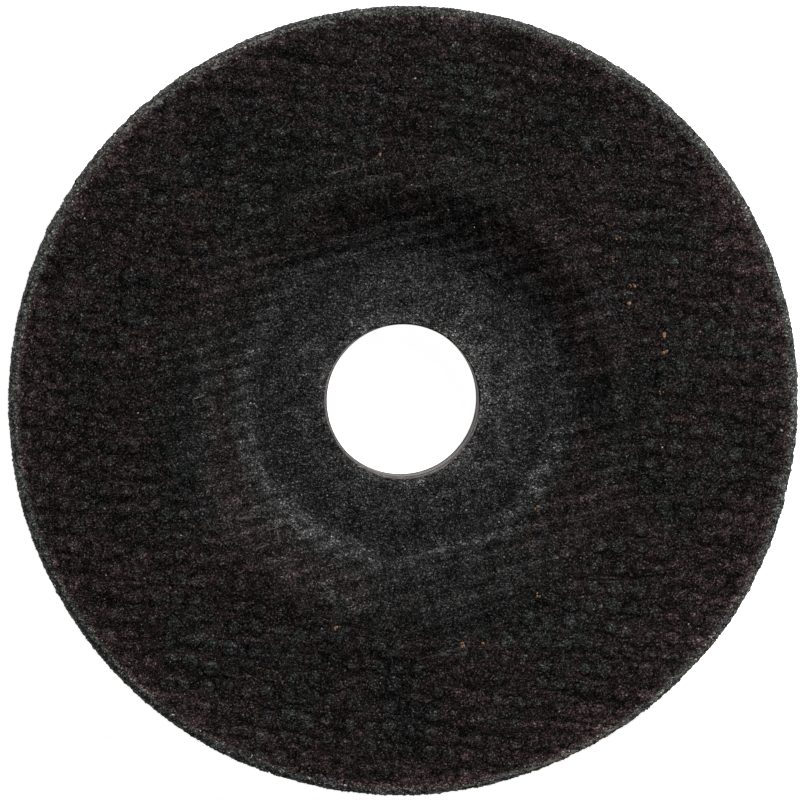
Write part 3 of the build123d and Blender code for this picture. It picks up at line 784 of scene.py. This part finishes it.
# ------------------------------------------------------------------ bits of yarn showing through the face
def face_at(x, y):
    """Height of the finished working face, without its single grains."""
    r = np.hypot(x, y)
    m = np.arange(len(OUTLINE)) <= int(np.argmax(OUTLINE[:, 0] > R_DISC - 1e-6))
    S = np.interp(r, OUTLINE[m, 0], LENGTH[m])
    rr, z, nr, nz = outline_at(S)
    p = np.stack([x, y, z], -1)
    h = relief(p, S, r, np.zeros_like(r))
    return z + nz * h


def simple_mesh(name, verts, faces, material, attrs=None, smooth_all=False):
    mesh = bpy.data.meshes.new(name)
    mesh.from_pydata([tuple(v) for v in (np.asarray(verts) * MM)], [], [tuple(int(i) for i in f) for f in faces])
    for key, value in (attrs or {}).items():
        layer = mesh.attributes.new(key, "FLOAT", "POINT")
        layer.data.foreach_set("value", np.asarray(value, dtype=np.float32))
    mesh.update()
    if smooth_all:
        mesh.polygons.foreach_set("use_smooth", np.ones(len(mesh.polygons), dtype=bool))
    mesh.materials.append(material)
    ob = bpy.data.objects.new(name, mesh)
    scene.collection.objects.link(ob)
    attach(ob, "root")
    return ob


def strand(points, half, sides=5):
    """A closed thin tube through points, tapered at both ends."""
    pts = np.asarray(points, float)
    n = len(pts)
    d = np.gradient(pts, axis=0)
    d /= np.linalg.norm(d, axis=1)[:, None] + 1e-9
    up = np.array([0, 0, 1.0])
    side = np.cross(d, up)
    side /= np.linalg.norm(side, axis=1)[:, None] + 1e-9
    top = np.cross(side, d)
    taper = np.clip(np.minimum(np.arange(n), np.arange(n)[::-1]) / 2.0 + 0.25, 0, 1)
    verts = []
    for k in range(sides):
        a = 2 * math.pi * k / sides
        verts.append(pts + (side * math.cos(a) + top * math.sin(a)) * half * taper[:, None])
    verts = np.stack(verts, 1).reshape(-1, 3)
    faces = []
    for i in range(n - 1):
        for k in range(sides):
            k1 = (k + 1) % sides
            faces.append((i * sides + k, i * sides + k1, (i + 1) * sides + k1, (i + 1) * sides + k))
    faces.append(tuple(range(sides))[::-1])
    faces.append(tuple((n - 1) * sides + k for k in range(sides)))
    return verts, faces


def laid_yarn(x0, y0, x1, y1, filaments, g, half=0.034, spread=0.16):
    """A frayed bundle of filaments lying in the face from one point to another."""
    out = []
    length = math.hypot(x1 - x0, y1 - y0)
    n = max(6, int(length / 0.16))
    t = np.linspace(0, 1, n)
    nx, ny = -(y1 - y0) / length, (x1 - x0) / length
    for f in range(filaments):
        a, b = sorted(g.uniform(0, 0.25, 1)), sorted(g.uniform(0.75, 1.0, 1))
        u = a[0] + (b[0] - a[0]) * t
        off = (f - (filaments - 1) / 2) * spread / max(1, filaments - 1) + g.normal(0, 0.012)
        wave = off + 0.03 * np.sin(u * length * 2.0 + g.uniform(0, 6)) + g.normal(0, 0.006, n)
        x = x0 + (x1 - x0) * u + nx * wave
        y = y0 + (y1 - y0) * u + ny * wave
        z = face_at(x, y)
        z = np.convolve(np.pad(z, 2, "edge"), np.ones(5) / 5, "valid") + g.uniform(0.0, 0.05)
        path = np.stack([x, y, z], -1)
        at = 0
        while at < n - 4:
            run = int(g.integers(4, 12))
            if len(path[at:at + run]) >= 4:
                out.append(strand(path[at:at + run], half * g.uniform(0.7, 1.2)))
            at += run + int(g.integers(0, 3))
    return out


def gather(parts):
    verts, faces, base = [], [], 0
    for v, f in parts:
        verts.append(v)
        faces += [tuple(i + base for i in q) for q in f]
        base += len(v)
    return np.concatenate(verts), faces


def exposed_yarns():
    g = np.random.default_rng(33)
    parts = []
    c, s = math.cos(CLOTH_ANGLE), math.sin(CLOTH_ANGLE)
    # the few clear ones: (x, y) in mm of each end, and how many filaments are bare
    for x0, y0, x1, y1, k in (
        (22.9, 10.5, 30.5, 12.8, 3), (27.9, 10.8, 28.4, 12.9, 2), (15.1, 21.1, 24.4, 23.3, 2),
        (-31.0, 0.7, -28.8, 1.3, 3), (-31.0, 0.7, -30.5, -0.9, 2),
        (-26.2, -16.8, -18.7, -16.6, 2), (-26.2, -16.8, -26.0, -21.1, 2), (-18.7, -16.6, -18.4, -21.1, 2),
        (2.0, -37.5, 9.5, -35.4, 2), (-12.0, 33.0, -5.5, 34.8, 2),
    ):
        parts += laid_yarn(x0, y0, x1, y1, k, g)
    made = 0
    while made < 75:
        row, cross = int(g.integers(-22, 23)), g.random() < 0.35
        along = g.uniform(-54, 54)
        size = g.uniform(1.0, 4.5)
        v = row * 2.5 + g.choice([-0.42, 0.0, 0.42]) + g.normal(0, 0.05)
        x0, y0 = (along * c - v * s, along * s + v * c) if not cross else (-along * s - v * c, along * c - v * s)
        dx, dy = (c, s) if not cross else (-s, c)
        x1, y1 = x0 + dx * size, y0 + dy * size
        r0, r1 = math.hypot(x0, y0), math.hypot(x1, y1)
        if min(r0, r1) < 21.0 or max(r0, r1) > 55.5 or g.random() > (1.0 if r0 < 38 else 0.45):
            continue
        parts += laid_yarn(x0, y0, x1, y1, int(g.integers(1, 3)), g, half=0.024)
        made += 1
    verts, faces = gather(parts)
    return simple_mesh("exposed_yarns", verts, faces, bare_yarn)


# ------------------------------------------------------------------ single grains standing in the face and rim
T_GOLD = (1 + 5 ** 0.5) / 2
ICO_V = np.array([(-1, T_GOLD, 0), (1, T_GOLD, 0), (-1, -T_GOLD, 0), (1, -T_GOLD, 0), (0, -1, T_GOLD), (0, 1, T_GOLD),
                  (0, -1, -T_GOLD), (0, 1, -T_GOLD), (T_GOLD, 0, -1), (T_GOLD, 0, 1), (-T_GOLD, 0, -1), (-T_GOLD, 0, 1)]) / math.hypot(1, T_GOLD)
ICO_F = np.array([(0, 11, 5), (0, 5, 1), (0, 1, 7), (0, 7, 10), (0, 10, 11), (1, 5, 9), (5, 11, 4), (11, 10, 2), (10, 7, 6), (7, 1, 8),
                  (3, 9, 4), (3, 4, 2), (3, 2, 6), (3, 6, 8), (3, 8, 9), (4, 9, 5), (2, 4, 11), (6, 2, 10), (8, 6, 7), (9, 8, 1)])


def grains(name, centres, sizes, seed, slot_name, material, tone=None, warm=None):
    """Sharp irregular grains: squashed and turned twenty-sided lumps."""
    g = np.random.default_rng(seed)
    n = len(centres)
    q = g.normal(0, 1, (n, 4))
    q /= np.linalg.norm(q, axis=1)[:, None]
    w, a, b, c = q.T
    rot = np.stack([1 - 2 * (b * b + c * c), 2 * (a * b - c * w), 2 * (a * c + b * w),
                    2 * (a * b + c * w), 1 - 2 * (a * a + c * c), 2 * (b * c - a * w),
                    2 * (a * c - b * w), 2 * (b * c + a * w), 1 - 2 * (a * a + b * b)], -1).reshape(n, 3, 3)
    scale = g.uniform(0.62, 1.25, (n, 1, 3)) * np.asarray(sizes)[:, None, None]
    lump = ICO_V[None] * scale * g.uniform(0.78, 1.15, (n, 12, 1))
    verts = np.einsum("nij,nkj->nki", rot, lump) + np.asarray(centres)[:, None, :]
    faces = (ICO_F[None] + np.arange(n)[:, None, None] * 12).reshape(-1, 3)
    attrs = {"tone": np.repeat(tone, 12), "warm": np.repeat(warm, 12)} if tone is not None else None
    return simple_mesh(name, verts.reshape(-1, 3), faces, material, attrs)


def face_grains():
    g = np.random.default_rng(77)
    n = 5200
    r = np.sqrt(g.uniform(12.2 ** 2, 56.6 ** 2, n))
    t = g.uniform(0, 2 * math.pi, n)
    x, y = r * np.cos(t), r * np.sin(t)
    size = np.clip(g.lognormal(math.log(0.105), 0.42, n), 0.05, 0.30)
    size = np.where(r < 21.5, size * 0.72, size)
    z = face_at(x, y) - size * g.uniform(0.05, 0.45, n)
    tone = np.clip(g.lognormal(math.log(1.6), 0.75, n), 0.25, 11)
    tone = np.where(r < 21.5, tone * 0.75, tone)
    keep = (r > 21.5) | (g.random(n) < 0.45)
    x, y, z, size, tone, r = (v[keep] for v in (x, y, z, size, tone, r))
    n = len(x)
    grains("face_grains", np.stack([x, y, z], -1), size, 78, "face_grit", face_mat, tone, g.uniform(0, 0.7, n))


def rim_grains():
    g = np.random.default_rng(79)
    n = 3600
    S = g.uniform(S_RIM0 - 0.5, S_RIM1 + 0.4, n)
    t = g.uniform(0, 2 * math.pi, n)
    r, z, nr, nz = outline_at(S)
    p = np.stack([r * np.cos(t), r * np.sin(t), z], -1)
    size = np.clip(g.lognormal(math.log(0.13), 0.4, n), 0.06, 0.3)
    h = relief(p, S, r, np.zeros(n)) - size * g.uniform(0.1, 0.6, n)
    c = np.stack([(r + nr * h) * np.cos(t), (r + nr * h) * np.sin(t), z + nz * h], -1)
    tone = np.clip(g.lognormal(math.log(4.2), 0.6, n), 0.8, 16)
    grains("rim_grains", c, size, 80, "abrasive", rim_mat, tone, g.uniform(0, 0.9, n))


def stray_grains():
    """Rust-coloured and pale foreign grains, where the face shows them."""
    g = np.random.default_rng(81)
    rust = [(-3.9, 36.2), (31.1, 23.6), (30.2, 20.7), (33.0, 16.9), (32.8, 14.3), (37.8, 9.9), (37.8, 7.1), (37.4, 1.5),
            (19.4, -15.7), (25.7, -22.9), (19.3, -28.1), (11.4, -35.3), (8.4, -35.4), (-10.1, -32.8)]
    pts, sizes = [], []
    for x, y in rust:
        for _ in range(int(g.integers(2, 6))):
            pts.append((x + g.normal(0, 0.22), y + g.normal(0, 0.22)))
            sizes.append(g.uniform(0.12, 0.32))
    pts = np.array(pts)
    sizes = np.array(sizes)
    z = face_at(pts[:, 0], pts[:, 1]) - sizes * 0.1
    grains("rust_grains", np.column_stack([pts, z]), sizes, 82, "face_grit", rust_mat)
    pale = np.array([(55.0, -4.3), (37.5, -6.7), (15.5, 15.2), (20.1, 8.7), (14.0, -17.8), (8.4, -20.8)] +
                    [(r * math.cos(a), r * math.sin(a)) for r, a in zip(g.uniform(14, 56, 34), g.uniform(0, 6.283, 34))])
    sizes = g.uniform(0.07, 0.17, len(pale))
    sizes[0] = 0.26
    z = face_at(pale[:, 0], pale[:, 1]) + sizes * 0.1
    grains("pale_grains", np.column_stack([pale, z]), sizes, 83, "face_grit", pale_mat)


def flat_grain_material(name, colour_a, colour_b, rough):
    m, nt, bsdf = new_material(name)
    mm = object_mm(nt)
    n = node(nt, "ShaderNodeTexNoise", Scale=7.0, Detail=4.0, Roughness=0.7)
    nt.links.new(mm, n.inputs["Vector"])
    base = mix_colour(nt, ramp(nt, n.outputs["Fac"], [(0.35, 0.0), (0.65, 1.0)]), colour_a, colour_b)
    nt.links.new(base, bsdf.inputs["Base Color"])
    nt.links.new(ramp(nt, n.outputs["Fac"], [(0.3, rough), (0.7, rough + 0.25)]), bsdf.inputs["Roughness"])
    bump = node(nt, "ShaderNodeBump", Strength=0.5, Distance=0.00005)
    nt.links.new(n.outputs["Fac"], bump.inputs["Height"])
    nt.links.new(bump.outputs[0], bsdf.inputs["Normal"])
    return m


rust_mat = flat_grain_material("rust_grain", (0.13, 0.058, 0.026), (0.30, 0.155, 0.075), 0.5)
pale_mat = flat_grain_material("pale_grain", (0.18, 0.175, 0.165), (0.34, 0.33, 0.31), 0.3)
bare_yarn = flat_grain_material("bare_yarn", (0.035, 0.033, 0.027), (0.085, 0.080, 0.066), 0.35)
exposed_yarns()
face_grains()
rim_grains()
stray_grains()

# ------------------------------------------------------------------ carried-over CAD nodes
for name, mat in [("arbor_ring", steel)] + [(n, yarn_mat) for n in (
        "rear_cloth_weft", "rear_cloth_warp", "centre_cloth_weft", "centre_cloth_warp",
        "hub_cloth", "front_cloth_weft", "front_cloth_warp")]:
    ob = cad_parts[name]
    ob.data.materials.clear()
    ob.data.materials.append(mat)

# ------------------------------------------------------------------ plain pale floor and soft light
bpy.ops.mesh.primitive_plane_add(size=4.0, location=(0, 0, -0.0002))
floor = bpy.context.object
floor.name = "floor"
fm, fnt, fb = new_material("floor")
fb.inputs["Base Color"].default_value = (0.90, 0.90, 0.90, 1)
fb.inputs["Roughness"].default_value = 0.9
fb.inputs["Emission Color"].default_value = (1, 1, 1, 1)
fb.inputs["Emission Strength"].default_value = 0.95
floor.data.materials.append(fm)

world = bpy.data.worlds.new("studio")
scene.world = world
world.use_nodes = True
world.node_tree.nodes["Background"].inputs[0].default_value = (1, 1, 1, 1)
world.node_tree.nodes["Background"].inputs[1].default_value = 0.02


def area(name, azimuth, elevation, distance, size, energy, colour=(1, 1, 1)):
    data = bpy.data.lights.new(name, "AREA")
    data.shape = "DISK"
    data.size = size
    data.energy = energy
    data.color = colour
    ob = bpy.data.objects.new(name, data)
    a, e = math.radians(azimuth), math.radians(elevation)
    d = np.array([math.cos(a) * math.cos(e), math.sin(a) * math.cos(e), math.sin(e)])
    ob.location = d * distance
    from mathutils import Vector
    ob.rotation_euler = Vector(d.tolist()).to_track_quat("Z", "Y").to_euler()
    scene.collection.objects.link(ob)
    return ob


area("key", 54, 46, 0.9, 0.22, 13)
area("fill", 215, 65, 1.1, 0.9, 0.35)
scene.view_settings.view_transform = "Standard"
scene.view_settings.look = "None"
